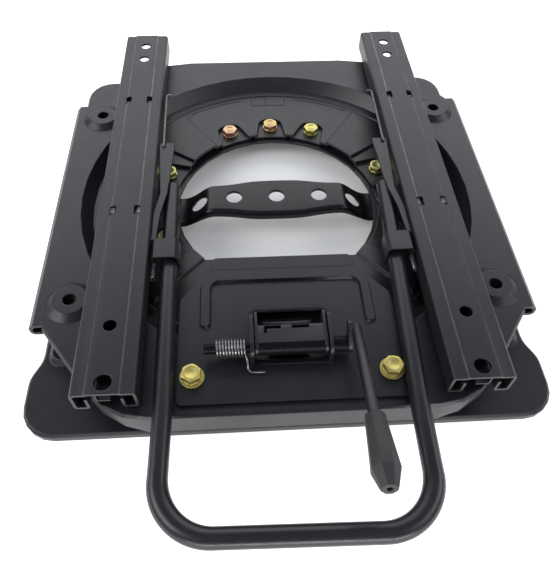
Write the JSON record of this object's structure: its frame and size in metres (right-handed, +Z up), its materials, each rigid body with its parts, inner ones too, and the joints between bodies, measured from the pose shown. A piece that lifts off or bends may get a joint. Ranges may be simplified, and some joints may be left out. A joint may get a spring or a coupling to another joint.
{
  "type": "seat swivel base",
  "caption": "Low swivel base for a vehicle seat: a pressed base plate, a turntable with a sprung latch lever, two slide rails and a U-shaped slide release handle.",
  "frame": {"origin": "middle of the whole part's outline in X and Y, on the floor under it", "axes": "+X across the seat towards the latch lever's side, +Y to the rear, +Z up"},
  "size_m": [0.402, 0.5282, 0.0991],
  "materials": {
    "black_coat": "satin",
    "rail_coat": "satin",
    "yellow_zinc": "zinc plated",
    "dark_spring_steel": "oiled",
    "grey_grip": "matte",
    "glide_nylon": "matte"
  },
  "bodies": {
    "base": {"base_plate": "black_coat"},
    "turntable": {"upper_glide_ring": "glide_nylon", "lower_glide_ring": "glide_nylon", "retainer_ring": "black_coat", "turntable_plate": "black_coat", "ring_bolt_1": "yellow_zinc", "ring_bolt_2": "yellow_zinc", "ring_bolt_3": "yellow_zinc", "ring_bolt_4": "yellow_zinc", "ring_bolt_5": "yellow_zinc", "ring_bolt_6": "yellow_zinc", "ring_bolt_7": "yellow_zinc", "ring_bolt_8": "yellow_zinc", "ring_bolt_9": "yellow_zinc", "carrier_bolt_left": "yellow_zinc", "carrier_bolt_right": "yellow_zinc", "cable_strap": "black_coat", "strap_rivet_left": "black_coat", "strap_rivet_right": "black_coat", "latch_carrier": "black_coat", "torsion_spring": "dark_spring_steel", "inner_rail_left": "rail_coat", "glide_liner_left_left": "glide_nylon", "glide_liner_left_right": "glide_nylon", "rail_rivet_left_front": "rail_coat", "rail_rivet_left_rear": "rail_coat", "inner_rail_right": "rail_coat", "glide_liner_right_left": "glide_nylon", "glide_liner_right_right": "glide_nylon", "rail_rivet_right_front": "rail_coat", "rail_rivet_right_rear": "rail_coat"},
    "latch": {"latch_shaft": "black_coat", "latch_pawl": "black_coat", "latch_bush": "dark_spring_steel", "latch_lever": "black_coat", "latch_grip": "grey_grip"},
    "slides": {"rail_channel_left": "rail_coat", "rail_channel_right": "rail_coat", "pivot_pin_left": "dark_spring_steel", "pivot_pin_right": "dark_spring_steel"},
    "handle": {"handle_tube": "black_coat", "pivot_clip_left": "black_coat", "release_arm_left": "black_coat", "release_wire_left": "dark_spring_steel", "clip_spring_left": "dark_spring_steel", "pivot_clip_right": "black_coat", "release_arm_right": "black_coat", "release_wire_right": "dark_spring_steel", "clip_spring_right": "dark_spring_steel"}
  },
  "joints": [
    {"name": "seat_swivel", "type": "hinge", "parent": "base", "child": "turntable", "pos_m": [0, 0.04213, 0.0365], "axis": [0, 0, 1], "continuous": true},
    {"name": "swivel_latch", "type": "hinge", "parent": "turntable", "child": "latch", "pos_m": [0, -0.12987, 0.05], "axis": [1, 0, 0], "range_deg": [-5.5, 8], "stiffness_Nm_per_rad": 2, "springref_deg": -1.15},
    {"name": "seat_slide", "type": "slide", "parent": "turntable", "child": "slides", "axis": [0, 1, 0], "range_m": [-0.1, 0.05]},
    {"name": "slide_release", "type": "hinge", "parent": "slides", "child": "handle", "pos_m": [0, -0.03837, 0.0485], "axis": [-1, 0, 0], "range_deg": [0, 2.6], "stiffness_Nm_per_rad": 5}
  ]
}
